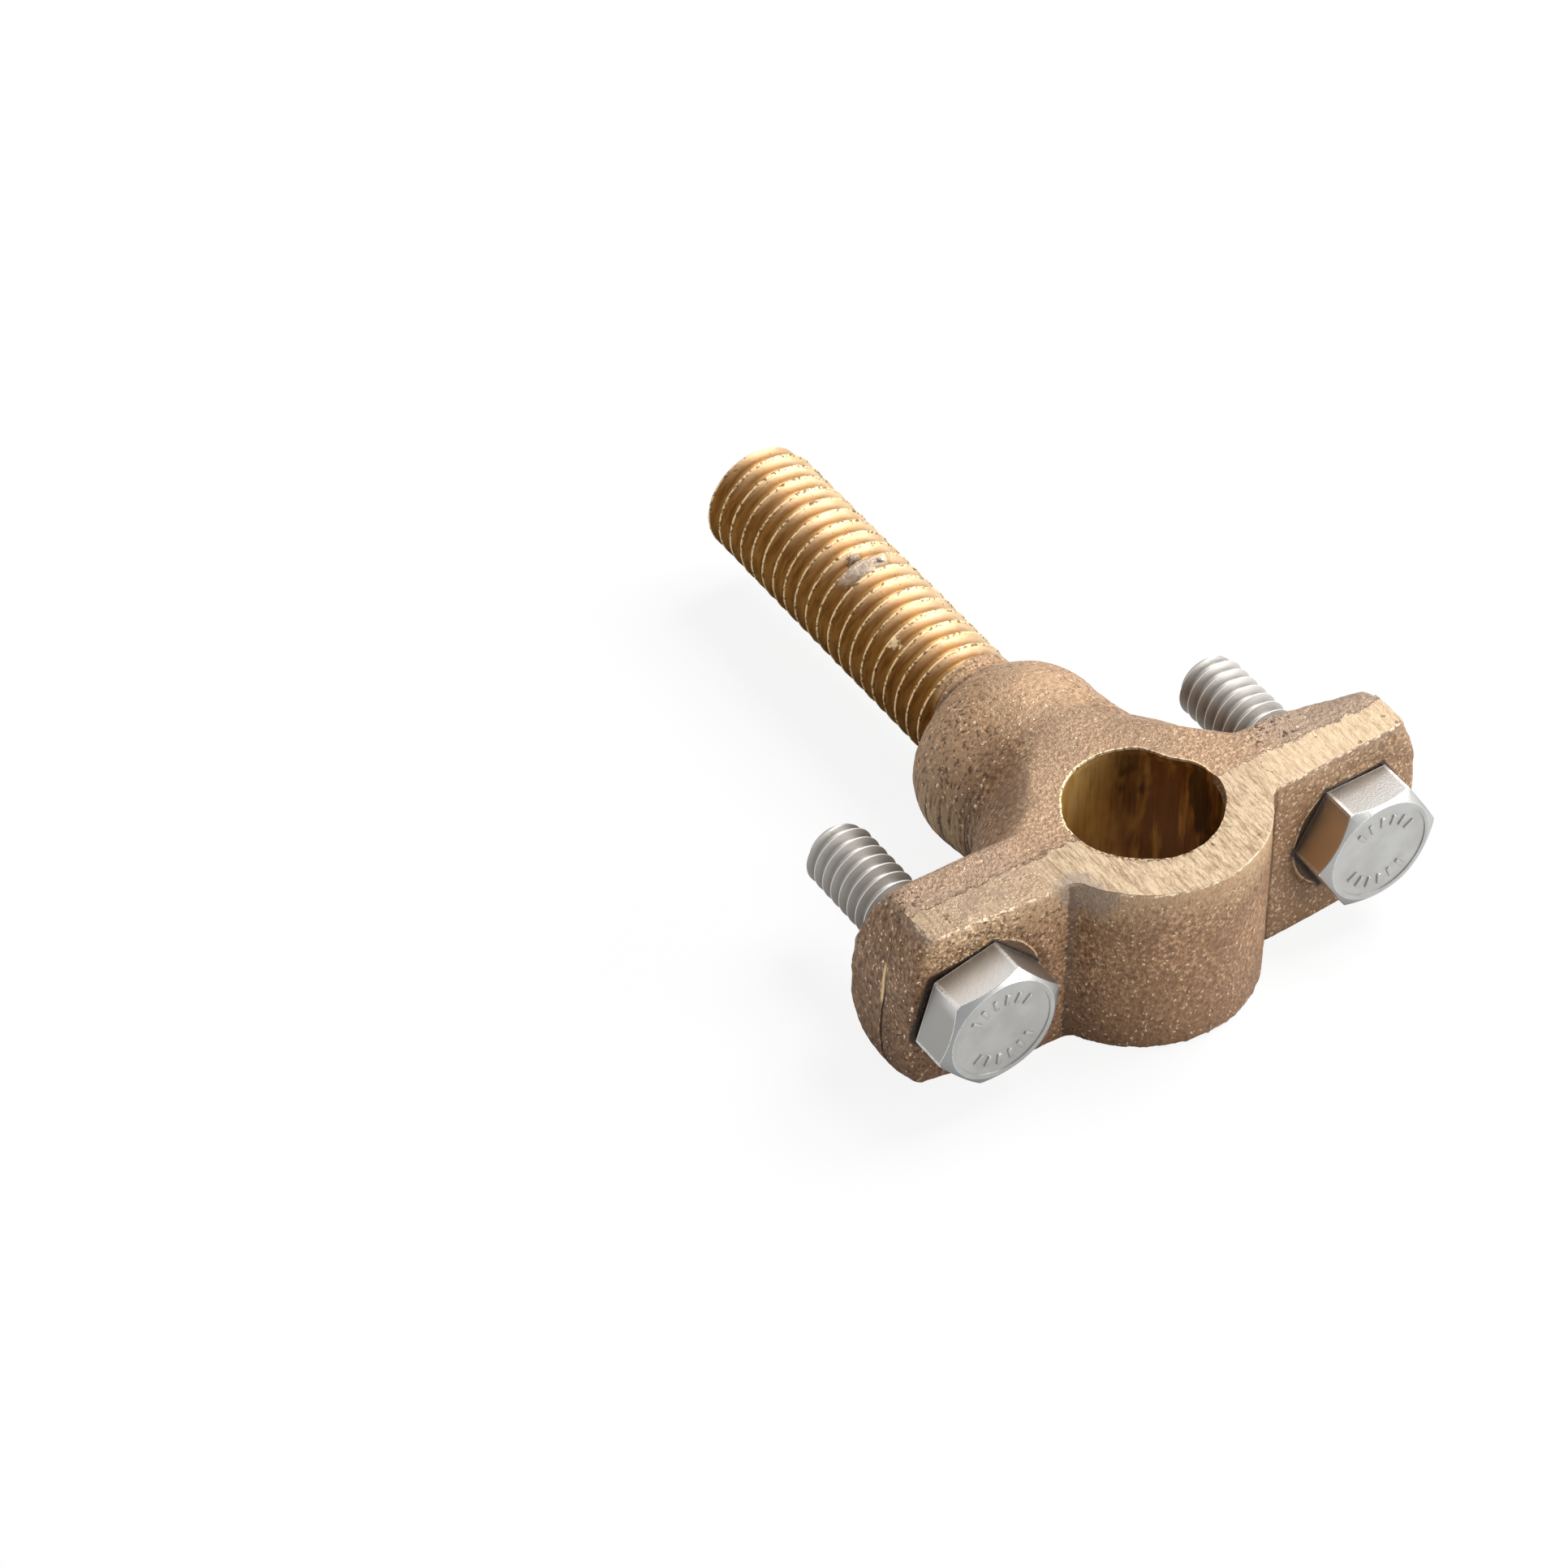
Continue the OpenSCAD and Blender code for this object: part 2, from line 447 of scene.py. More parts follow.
# %% One helper for the stud and the bolts
# Half of one turn's outline: a share of the pitch, and how deep the groove is there.
FALL = [(0.0, 0.0), (0.045, 0.0), (0.19, 0.415), (0.33, 0.815), (0.40, 0.93), (0.46, 0.985)]
GROOVE = FALL + [(1 - along, deep) for along, deep in reversed(FALL)]
SPARE_TURNS = 3


def wind_thread(name, pitch, crest_r, depth, start, end, steps):
    """A threaded rod along Y, from start to end, on the Y axis."""
    turns = int((end - start) / pitch) + SPARE_TURNS
    first = start - pitch * SPARE_TURNS / 2
    points = [Vector((0, first + along * pitch, crest_r - deep * depth)) * MM for along, deep in GROOVE]
    clear_bench()
    bpy.ops.mesh.primitive_plane_add(size=MM, location=(0, 0, 0))
    piece = bpy.context.object
    piece.name = name
    bpy.ops.object.mode_set(mode="EDIT")
    bpy.ops.mesh.merge(type="CENTER")
    bpy.ops.transform.translate(value=points[0])
    for here, there in zip(points, points[1:]):
        bpy.ops.mesh.extrude_region_move(TRANSFORM_OT_translate={"value": there - here})
    only(piece)
    work(piece, "SCREW", axis="Y", angle=2 * math.pi, screw_offset=pitch * MM, iterations=turns, steps=steps,
         render_steps=steps, use_merge_vertices=True, merge_threshold=1e-7)
    pick(piece)
    bpy.ops.mesh.remove_doubles(threshold=1e-6)
    slice_off(piece, (0, start, 0), (0, -1, 0))
    slice_off(piece, (0, end, 0), (0, 1, 0))
    pick(piece)
    bpy.ops.mesh.normals_make_consistent(inside=False)
    only(piece)
    return piece


def draw_in(piece, reach):
    """Sets each point's distance from the Y axis to what reach(y, angle, distance) says, all in mm."""
    for point in piece.data.vertices:
        x, y, z = point.co / MM
        r = math.hypot(x, z)
        wanted = reach(y, math.atan2(x, z), r)
        if r > 1e-6 and abs(wanted - r) > 1e-6:
            point.co.x *= wanted / r
            point.co.z *= wanted / r


# %% [markdown]
# ## The stud
# The stud is one piece with the body, and a die cut its thread. The die ran out in a ragged collar of cast
# skin at the foot, and it missed two low patches on top; the tip is chamfered. Paint alone would leave a full
# thread there, so the points are drawn in to the cast surface. An attribute called skin keeps the share of
# casting at each point, and the finish reads it later.

# %% Wind the stud's thread
STUD_PITCH, STUD_R, STUD_DEPTH = 1.814, 5.555, 1.05
STUD_ROOT_Y = 23.4
stud = wind_thread("stud_thread", STUD_PITCH, STUD_R, STUD_DEPTH, STUD_ROOT_Y, tip_y, steps=112)
facts(stud)

# %% Where its thread runs out
COLLAR_LOW, COLLAR_MORE, COLLAR_TURN = 24.3, 2.7, math.radians(45)
# Two patches: place along the stud, turn from the top in degrees, and half sizes along and around.
MISSED = ((41.9, -4, 0.9, 26), (43.5, -6, 0.38, 7))
TIP_CHAMFER = 0.95


def collar_end(angle):
    """How far the cast collar reaches up the stud; it is longest at the upper right."""
    return COLLAR_LOW + COLLAR_MORE * (0.5 + 0.5 * math.cos(angle - COLLAR_TURN)) ** 1.6


def cast_share(y, angle):
    """1 where the die missed the casting: at the collar, and at two low patches on top of the stud."""
    collar = 1 - rise(y, collar_end(angle) - 0.5, collar_end(angle) + 0.5)
    patch = max(1.35 - math.hypot((y - at) / along, (math.degrees(angle) - turn) / around)
                for at, turn, along, around in MISSED)
    ragged = 0.35 * noise.noise(Vector((y * 2.1, angle * 9, 0)))
    return max(collar, min(max((patch + ragged) * 1.6, 0.0), 1.0))


def stud_reach(y, angle, r):
    """The cast surface where the die missed, else the thread with torn crests, inside the chamfer."""
    share = cast_share(y, angle)
    lump = 0.10 * noise.noise(Vector((y * 1.3, angle * 5, 3.0)))
    torn = 0.05 * noise.noise(Vector((y * 0.9, angle * 11, 7.0))) * rise(r, STUD_R - 0.3, STUD_R)
    cast_r = STUD_R - 0.22 * rise(y, 30, 32) + lump
    return min(r + (cast_r - r) * share + torn, STUD_R - TIP_CHAMFER + (tip_y - y))


skin = stud.data.attributes.new("skin", "FLOAT", "POINT")
for spot, point in zip(skin.data, stud.data.vertices):
    spot.value = cast_share(point.co.y / MM, math.atan2(point.co.x, point.co.z))
print("points of cast skin on the stud:", sum(spot.value > 0.5 for spot in skin.data))
draw_in(stud, stud_reach)
facts(stud)

# %% [markdown]
# ## The hex bolts
# A bolt head is a hexagon whose corners were turned off at 30 degrees, which leaves the curved edges on
# its flats. Those curves are hard to draw by hand, so the hexagon is intersected with a cone, exactly as the
# lathe does it, and its edges are then broken with a small bevel. One bolt is made on the Y axis and copied
# to both sides.

# %% The head
HEAD_AF, HEAD_H = 10.9, 4.1
CONE_SLOPE = math.tan(math.radians(30))
DISH, DISH_RIM = 0.09, 0.42
corner_r, face_r = HEAD_AF / math.sqrt(3), 0.475 * HEAD_AF
front_y = SEAT_Y - HEAD_H
dish_y = front_y + DISH

head = rod("bolt", corner_r, (0, front_y, 0), (0, SEAT_Y, 0), 6)
clear_bench()
bpy.ops.mesh.primitive_cone_add(vertices=144, radius1=(face_r + HEAD_H / CONE_SLOPE) * MM,
                                radius2=face_r * MM, depth=HEAD_H * MM,
                                location=(0, (SEAT_Y - HEAD_H / 2) * MM, 0), rotation=(math.pi / 2, 0, 0))
turned_blank = bpy.context.object
bpy.ops.object.transform_apply(location=True, rotation=True, scale=True)
cut(head, turned_blank, "INTERSECT")
work(head, "BEVEL", width=0.10 * MM, segments=2, limit_method="ANGLE", angle_limit=math.radians(20),
     use_clamp_overlap=True)
cut(head, rod("dish_cutter", face_r - DISH_RIM, (0, dish_y - 1, 0), (0, dish_y, 0), 128))
sweep(head, lambda p: p.y > SEAT_Y - 0.05)
facts(head)

# %% Plain raised ticks on the head
TICK_AT, TICK_SIZE = 3.35, (0.42, 0.30, 1.15)
TICK_ROWS, TICK_STEPS = (20, 200), (-50, -30, -10, 10, 30, 50)


def tick(angle):
    """A small raised bar on the face of the head, pointing away from its middle."""
    clear_bench()
    bpy.ops.mesh.primitive_cube_add(size=MM, location=(0, dish_y * MM, TICK_AT * MM))
    bar = bpy.context.object
    bar.scale = TICK_SIZE
    bpy.ops.object.transform_apply(location=True, rotation=True, scale=True)
    work(bar, "BEVEL", width=0.09 * MM, segments=2)
    pick(bar)
    bpy.ops.transform.rotate(value=math.radians(angle), orient_axis="Y", center_override=(0, 0, 0))
    only(bar)
    return bar


put_together(head, *[tick(row + step) for row in TICK_ROWS for step in TICK_STEPS])
facts(head)

# %% The threaded shank
BOLT_PITCH, BOLT_R, BOLT_DEPTH = 1.27, 3.175, 0.74
BOLT_CHAMFER = 0.85
IN_HEAD = 0.5
bolt_tip = bolt_high.y
shank = wind_thread("shank", BOLT_PITCH, BOLT_R, BOLT_DEPTH, SEAT_Y - IN_HEAD, bolt_tip, steps=80)
draw_in(shank, lambda y, angle, r: min(r, BOLT_R - BOLT_CHAMFER + (bolt_tip - y)))
facts(shank)
put_together(head, shank)

# %% One bolt for each side
# Each bolt's side of the clamp, and the turn of its head in degrees.
HEAD_TURNS = {"left_bolt_steel": (-1, 14), "right_bolt_steel": (1, 1)}
# A six-sided rod starts with a corner straight up; the drawing starts with one at the side.
ROD_CORNER = 30
bolts = {}
for name, (side, turn) in HEAD_TURNS.items():
    bolt = bpy.data.objects.new(name, head.data.copy())
    bpy.context.scene.collection.objects.link(bolt)
    pick(bolt)
    bpy.ops.transform.rotate(value=math.radians(turn - ROD_CORNER), orient_axis="Y",
                             center_override=(0, 0, 0))
    only(bolt)
    corners = [math.degrees(math.atan2(v.co.z, v.co.x)) % 60 for v in bolt.data.vertices
               if math.hypot(v.co.x, v.co.z) > (corner_r - 0.09) * MM]
    print(name, "corner angles", round(min(corners), 1), round(max(corners), 1))
    pick(bolt)
    bpy.ops.transform.translate(value=(side * bolt_x * MM, 0, 0))
    only(bolt)
    bolts[name] = bolt
    facts(bolt)
bpy.data.objects.remove(head)

# %% Smooth shading
SHARP = math.radians(32)
FLAT_AREA = 0.6
for piece in (casting, cap, stud, *bolts.values()):
    only(piece)
    bpy.ops.object.shade_smooth_by_angle(angle=SHARP)
for bolt in bolts.values():
    flats = [face for face in bolt.data.polygons if face.area > FLAT_AREA * MM * MM]
    for face in flats:
        face.use_smooth = False
    print(bolt.name, "flat faces:", len(flats))

# %% [markdown]
# ## Finishes
# Each finish is a small recipe of nodes. One could wire them up in the shader editor; here a wire is one
# socket of the recipe, and sums on wires add Math nodes, so the recipes read like formulas. Patterns are laid
# out in millimetres on the piece itself, so they stay with it when it moves.

# %% Wires
class Wire:
    """A socket of a recipe. Python's operators on it add Math nodes."""

    def __init__(self, recipe, socket):
        self.recipe, self.socket = recipe, socket

    def math(self, operation, *values):
        return self.recipe.node("Math", {"operation": operation}, dict(enumerate(values)))

    def __add__(self, other):
        return self.math("ADD", self, other)

    def __radd__(self, other):
        return self.math("ADD", other, self)

    def __sub__(self, other):
        return self.math("SUBTRACT", self, other)

    def __rsub__(self, other):
        return self.math("SUBTRACT", other, self)

    def __mul__(self, other):
        return self.math("MULTIPLY", self, other)

    def __rmul__(self, other):
        return self.math("MULTIPLY", other, self)

    def __truediv__(self, other):
        return self.math("DIVIDE", self, other)

    def __pow__(self, other):
        return self.math("POWER", self, other)

    def __neg__(self):
        return 0 - self

    def __abs__(self):
        return self.math("ABSOLUTE", self)

    def most(self, other):
        return self.math("MAXIMUM", self, other)

    def ramp(self, low, high):
        """0 below low, 1 above high, a smooth step between."""
        return self.recipe.node("MapRange", {"interpolation_type": "SMOOTHSTEP"},
                                {"Value": self, "From Min": low, "From Max": high})

    def fall(self, low, high):
        """1 below low, 0 above high, a smooth step between."""
        return 1 - self.ramp(low, high)


# %% Recipes
class Recipe:
    """A tree of nodes that are added by one method."""

    def __init__(self, tree):
        self.tree = tree

    def node(self, kind, settings, sockets, out=0):
        made = self.tree.nodes.new("ShaderNode" + kind)
        for name, value in settings.items():
            setattr(made, name, value)
        for name, value in sockets.items():
            self.feed(made.inputs[name], value)
        return Wire(self, made.outputs[out])

    def feed(self, socket, value):
        """Sets a socket, or links a wire to it."""
        if isinstance(value, Wire):
            self.tree.links.new(value.socket, socket)
        elif socket.type == "RGBA" and len(value) == 3:
            socket.default_value = (*value, 1)
        else:
            socket.default_value = value


class Finish(Recipe):
    """A material, with its place in millimetres, a colour laid on in coats, and patterns."""

    def __init__(self, name, **constants):
        self.material = bpy.data.materials.new(name)
        self.material.use_nodes = True
        super().__init__(self.material.node_tree)
        self.shader = self.tree.nodes["Principled BSDF"]
        self.set(**constants)
        place = self.node("TexCoord", {}, {}, "Object")
        self.place = self.node("VectorMath", {"operation": "SCALE"}, {0: place, "Scale": 1 / MM})
        self.x, self.y, self.z = (self.node("SeparateXYZ", {}, {0: self.place}, axis) for axis in "XYZ")
        self.colour = None

    def set(self, **wires):
        for name, wire in wires.items():
            self.feed(self.shader.inputs[name.replace("_", " ")], wire)

    def mix(self, first, second, share):
        """Two colours mixed, all second where share is 1."""
        return self.node("Mix", {"data_type": "RGBA"}, {0: share, 6: first, 7: second}, 2)

    def coat(self, colour, share):
        """Lays a colour over those below it, to hide them where share is 1."""
        self.colour = self.mix(self.colour, colour, share)

    def stretched(self, x, y, z):
        return self.node("VectorMath", {"operation": "MULTIPLY"}, {0: self.place, 1: (x, y, z)})

    def from_axis(self, x, y, z):
        """Distance in mm from the axis whose own share is 0."""
        return self.node("VectorMath", {"operation": "LENGTH"}, {0: self.stretched(x, y, z)}, "Value")

    def grain(self, per_mm, detail=2.0, place=None, rough=0.5):
        """Soft noise, with this many grains to a millimetre."""
        return self.node("TexNoise", {}, {"Vector": place or self.place, "Scale": per_mm, "Detail": detail,
                                          "Roughness": rough}, "Fac")

    def specks(self, per_mm, place=None):
        """A chance from 0 to 1 for each crystal of the skin."""
        colour = self.node("TexVoronoi", {}, {"Vector": place or self.place, "Scale": per_mm}, "Color")
        return self.node("SeparateColor", {}, {0: colour})

    def near(self, place, reach, ragged=0.0):
        """1 close to a place in mm, 0 from this reach on; ragged is a wire that frays its edge."""
        gap = self.node("VectorMath", {"operation": "DISTANCE"}, {0: self.place, 1: place}, "Value")
        return (gap + ragged).fall(reach * 0.6, reach)

    def bump(self, height, depth_mm):
        """A normal from a height of 0 to 1 that stands for this many millimetres."""
        return self.node("Bump", {}, {"Height": height, "Distance": depth_mm * MM, "Strength": 1.0})


# %% [markdown]
# ### Bronze
# The cast skin is brown and sandy: dark in its small hollows, partly dirt and partly painted shade, light on
# its grains, with painted glints here and there. Its top, neck and upper front are painted lighter, and its
# underside, left end and the left of the barrel's front painted darker, as the lamps fall on them. The ground
# top of the cap is bright metal with scratches along Y, with a painted highlight along its edge. The bore is
# a smooth gold with brown stains and painted shade towards its right and front, the seats under the heads are
# painted dark as shade, painted shadow lies round the heads, and painted shade in the corners. One could give
# each place a material of its own, but their borders are ragged, so one recipe tells them apart by place and
# lays their colours on in coats.

# %% The sandy skin that both castings share
def mottle_and_painted_light(f, top):
    """The skin's browns by place: a random mottle, painted shade below, at the left end and on the left of
    the barrel's front, and painted light, greyer on top and warmer on the neck and the upper front above the
    bolt heads.
    """
    mottle = f.grain(0.17, 2.0).ramp(0.40, 0.62)
    ears = abs(f.x).ramp(10.0, 15.0)
    on_top = f.mix((0.50, 0.38, 0.27), (0.33, 0.255, 0.195), ears)
    left_end = (-f.x).ramp(23.5, 25.5) * (1 - top)
    neck = f.y.ramp(12.0, 16.0) * (0.45 + 0.18 * (-f.x).ramp(4.0, 8.0))
    brows = f.z.ramp(4.0, 8.5) * f.y.fall(-4.3, -3.5) * (0.6 - 0.35 * f.x.ramp(8.0, 12.0))
    barrel_front = abs(f.x + 3.0).fall(3.0, 7.0) * f.y.fall(-9.5, -7.5)
    # Painted shade: darker towards the bottom, over a random mottle.
    f.coat((0.180, 0.092, 0.042), (mottle * 0.55).most(f.z.fall(-12, 4)))
    # Painted light: the top greyer, and lighter over the barrel.
    f.coat(on_top, top * (0.25 + 0.2 * ears + 0.18 * f.x.ramp(12, 17)))
    # Painted shade on the left end.
    f.coat((0.150, 0.080, 0.040), left_end * 0.25)
    # Painted light on the neck, and on the upper front above the bolt heads, less at the right.
    f.coat((0.54, 0.345, 0.200), neck)
    f.coat((0.53, 0.355, 0.20), brows)
    # Painted shade on the left of the barrel's front.
    f.coat((0.17, 0.088, 0.040), barrel_front * 0.22)


def cast_skin(f, drawn):
    """Colour, roughness, share of metal and height of the cast skin; its grains follow the drawn place."""
    f.sand = f.grain(2.7, 2.0, drawn, rough=0.6)
    fine = f.grain(6.5, 1.0, drawn)
    coarse = f.grain(0.9, 2.0)
    glint = f.specks(4.6, drawn).ramp(0.90, 0.96) * fine.ramp(0.42, 0.6)
    top = f.z.ramp(7.5, 9.2)
    barrel = abs(f.x).fall(8.0, 12.0) * f.y.fall(-5.0, -4.0)
    calm = barrel * 0.35 + top * 0.5
    f.colour = f.mix((0.265, 0.140, 0.066), (0.53, 0.335, 0.185), f.sand.ramp(0.50, 0.68))
    mottle_and_painted_light(f, top)
    # Dark in the sand's small hollows: partly dirt, partly painted shade.
    f.coat((0.050, 0.024, 0.010), f.sand.fall(0.31, 0.49) * (0.85 - calm))
    # Painted glints: light specks laid into the colour, which also shine more as metal.
    f.coat((0.86, 0.66, 0.45), glint * (1 - calm))
    f.rough = 0.48 + 0.14 * f.sand - 0.2 * glint
    f.metal = 0.35 + 0.4 * glint
    f.height = f.sand * 0.8 + fine * 0.22 + coarse * 0.6 + glint * 0.15


# %% The gold of the reamed bore
def bore_gold(f):
    """The bore's colour with brown stains and painted shade towards its right and front, lighter blotches
    that are partly painted light, and the marks that the reamer pulled along it.
    """
    pulled = f.grain(1.0, 3.0, f.stretched(0.9, 0.9, 0.12), rough=0.6)
    blotch = f.grain(0.3, 2.0, f.stretched(1, 1, 0.6))
    # Brown stains with painted shade: the bore is painted brown towards its right and front.
    stain_and_shade = (f.x * 0.84 - f.y * 0.54 + (pulled - 0.5) * 5 + (blotch - 0.5) * 9).ramp(-5.0, 0.5)
    brown = f.mix((0.15, 0.058, 0.008), (0.40, 0.210, 0.048), pulled.ramp(0.45, 0.7))
    oil = f.grain(0.26, 3.0, f.stretched(1, 1, 0.4), rough=0.6).ramp(0.52, 0.60) * stain_and_shade
    scores = f.grain(1.0, 2.0, f.stretched(3.6, 3.6, 0.16)).fall(0.34, 0.48)
    f.colour = f.mix((0.58, 0.330, 0.086), (0.82, 0.505, 0.150), pulled.ramp(0.32, 0.68))
    f.coat(brown, stain_and_shade)
    f.coat((0.022, 0.009, 0.002), oil * 0.8)
    f.coat((0.09, 0.040, 0.008), scores * (0.15 + 0.35 * stain_and_shade))
    # Lighter gold blotches on the other side, partly painted light.
    f.coat((0.86, 0.56, 0.24), blotch.ramp(0.50, 0.64) * (1 - stain_and_shade) * 0.5)
    return f.colour, pulled


# %% The cap's front: torn grains, a browner ear, a stain
def front_marks(f, ragged):
    """Marks on the cap's front, with painted glints among the torn grains and on the right ear; says where it
    is stained, because the painted edge highlight stops there.
    """
    crumbs = f.specks(4.4)
    torn = f.near((-20.2, -4.3, 8.4), 5.2, (ragged - 0.5) * 5) * f.y.fall(-3.6, -3.0)
    right_ear = f.x.ramp(10.4, 11.4) * f.y.fall(-4.2, -3.7)
    stained = f.near((-10.2, -6.6, 8.6), 3.4, (ragged - 0.5) * 4)
    # Painted glints among the torn grains.
    f.coat((0.84, 0.64, 0.43), torn * crumbs.ramp(0.80, 0.90) * 0.75)
    f.coat((0.090, 0.044, 0.018), torn * crumbs.fall(0.06, 0.14) * 0.8)
    f.coat((0.245, 0.148, 0.082), right_ear * (0.35 + 0.3 * f.sand.fall(0.40, 0.56)))
    # Painted glints on the right ear.
    f.coat((0.80, 0.60, 0.40), right_ear * crumbs.ramp(0.88, 0.95) * 0.5)
    f.coat((0.215, 0.175, 0.150), stained * 0.55)
    return stained


# %% The cap's ground top
def wheel_flat(f, ragged, streak):
    """Colour of the ground flat: brighter at the right, duller at the left, with a smear and pits."""
    smear = f.near((-10.8, -6.0, half_height), 2.8, (ragged - 0.5) * 4)
    flat = f.mix((0.26, 0.180, 0.108), (0.47, 0.362, 0.248), streak.ramp(0.34, 0.62))
    flat = f.mix(flat, (0.60, 0.455, 0.305), f.x.ramp(8.0, 14.0) * 0.35)
    flat = f.mix(flat, (0.27, 0.190, 0.125), (-f.x).ramp(9.0, 14.0) * 0.5)
    flat = f.mix(flat, (0.20, 0.165, 0.145), smear * 0.55)
    return f.mix(flat, (0.10, 0.055, 0.028), ragged.fall(0.30, 0.36) * 0.8)


def edge_highlight(f, ragged):
    """A painted highlight along the edge between the flat and the cast sides: broken on the ears, fuller on
    the right of the barrel.
    """
    wander = f.z + (ragged - 0.5) * 0.9
    edge = wander.ramp(half_height - 0.40, half_height - 0.15) * f.z.fall(half_height - 0.06, half_height)
    broken = 0.1 + 0.9 * f.grain(1.7).ramp(0.46, 0.58)
    on_barrel = f.x.ramp(-1.0, 4.0) * f.y.fall(-5.6, -5.0) * f.grain(0.7).ramp(0.30, 0.40)
    shows = (f.sand.ramp(0.34, 0.48) * broken).most(on_barrel * f.sand.ramp(0.26, 0.38))
    return edge * f.y.fall(-2.0, -1.5) * shows


def ground_top(f):
    """Marks of the front, the ground flat with a painted highlight along its edge, the seam behind it, chips
    at the bore.
    """
    ragged = f.grain(0.9, 4.0, rough=0.7)
    streak = f.grain(1.0, 4.0, f.stretched(4.0, 0.6, 0.6), rough=0.75)
    missed = (f.grain(0.5, 2.0) + (f.sand - 0.5) * 0.9).ramp(0.40, 0.60) * (-f.x).ramp(10.0, 15.0) * 0.6
    past = f.y + 0.75 + (ragged - 0.5) * 2.0
    ground = f.z.ramp(half_height - 0.05, half_height - 0.01) * past.fall(-0.1, 0.1)
    flat = ground * (1 - missed)
    seam = abs(past - 0.1).fall(0.05, 0.20) * f.z.ramp(half_height - 0.3, half_height - 0.1)
    chips = f.from_bore.fall(BORE_R + 0.05, BORE_R + 0.4) * f.sand.fall(0.40, 0.47)
    stained = front_marks(f, ragged)
    # Painted highlight along the edge of the ground flat.
    f.coat((0.95, 0.78, 0.58), edge_highlight(f, ragged) * (1 - stained) * 0.9)
    f.coat(wheel_flat(f, ragged, streak), flat)
    f.coat((0.075, 0.040, 0.020), seam * (0.75 - 0.5 * f.x.ramp(-8.0, 8.0)) * f.sand.ramp(0.40, 0.54))
    f.coat((0.075, 0.036, 0.012), chips * f.z.ramp(half_height - 0.1, half_height) * 0.85)
    f.rough = f.rough * (1 - flat) + (0.34 + 0.16 * streak) * flat
    f.metal = f.metal.most(flat)
    f.height = f.height * (1 - ground) + (streak * 0.3 + f.sand * missed * 0.35) * ground


# %% The cap's seats in painted shade, and the painted shadow round the heads
def from_bolt_axis(f):
    """Distance in mm from the axis of the bolt on the same side."""
    sideways = abs(f.x) - bolt_x
    return (sideways * sideways + f.z * f.z) ** 0.5


def seats(f):
    """The milled seats are painted dark as shade, with a painted highlight on their broken rim."""
    from_bolt = from_bolt_axis(f)
    seat = from_bolt.fall(SEAT_R - 0.14, SEAT_R - 0.04) * f.y.ramp(SEAT_Y - 0.40, SEAT_Y - 0.25)
    rim = from_bolt.ramp(SEAT_R - 0.10, SEAT_R - 0.02) * from_bolt.fall(SEAT_R + 0.02, SEAT_R + 0.14)
    # Painted highlight on the broken rim of each seat.
    f.coat((0.72, 0.54, 0.34), rim * f.y.fall(SEAT_Y + 0.03, SEAT_Y + 0.09) * f.sand.ramp(0.35, 0.5) * 0.8)
    # Painted shade on the seat's floor.
    f.coat((0.085, 0.046, 0.022), seat * f.y.fall(SEAT_Y + 0.05, SEAT_Y + 0.11) * 0.9)


def shadow_round_heads(f):
    """Painted black shadow along the flats of each head, widest on its left."""
    for side, turn in HEAD_TURNS.values():
        beside = f.x - side * bolt_x
        angles = [math.radians(turn + flat) for flat in (30, 90, 150)]
        flats = [abs(beside * math.cos(angle) + f.z * math.sin(angle)) for angle in angles]
        gap = flats[0].most(flats[1]).most(flats[2]) - HEAD_AF / 2
        wide = 0.35 + 0.35 * (-beside).ramp(1.0, 4.5) + (f.sand - 0.5) * 0.5
        contact_shadow = (gap / wide).fall(0.35, 1.0) * f.y.fall(SEAT_Y + 0.55, SEAT_Y + 0.75)
        # Painted shadow between each head and the cap.
        f.coat((0.012, 0.006, 0.003), contact_shadow * 0.92)


def corner_shade_and_slit_shadow(f):
    """Painted shade in the corners between barrel and ears, and painted shadow in the open split at the left
    end.
    """
    outward = abs(f.x) + (f.sand - 0.5) * 0.5
    corner = outward.ramp(9.7, 10.7) * outward.fall(10.85, 11.0) * f.y.ramp(-5.9, -5.5) * f.y.fall(-4.7, -4.6)
    slit_shadow = f.y.ramp(-0.35, -0.15) * (-f.x).ramp(24.0, 25.0) * f.z.fall(1.0, 2.5)
    # Painted shade in the corners, and painted shadow in the open split.
    f.coat((0.045, 0.023, 0.011), corner * f.z.fall(half_height - 0.5, half_height - 0.2) * 0.62)
    f.coat((0.020, 0.010, 0.005), slit_shadow * 0.9)


# %% The body's own marks
# Colour of the painted shade in the crease at the stud's foot.
STUD_CREASE_SHADE = (0.055, 0.028, 0.014)


def file_strokes(f):
    """Where a file dressed the lower left of the neck."""
    filed = (-f.x).ramp(6.6, 8.2) * f.y.ramp(10.5, 12.5) * f.z.fall(-1.0, 3.5)
    strokes = f.grain(1.0, 1.0, f.stretched(0.3, 2.6, 0.16))
    f.coat((0.42, 0.285, 0.15), filed * strokes.ramp(0.47, 0.58) * 0.85)
    f.coat((0.060, 0.032, 0.014), filed * strokes.fall(0.38, 0.5) * 0.85)
    f.height = f.height * (1 - filed * 0.7) + strokes * filed * 1.6


def brink_shade(f):
    """Painted shade in the hollow at the left of the neck, just below its brink."""
    hollow = f.x.ramp(-14.0, -12.0) * f.x.fall(-6.0, -4.5) * f.y.ramp(4.5, 6.0) * f.y.fall(14.0, 17.0)
    below = (f.z + (f.sand - 0.5) * 0.5).fall(8.35, 8.65) * f.z.ramp(5.5, 7.5)
    f.coat((0.200, 0.112, 0.058), hollow * below * 0.4)


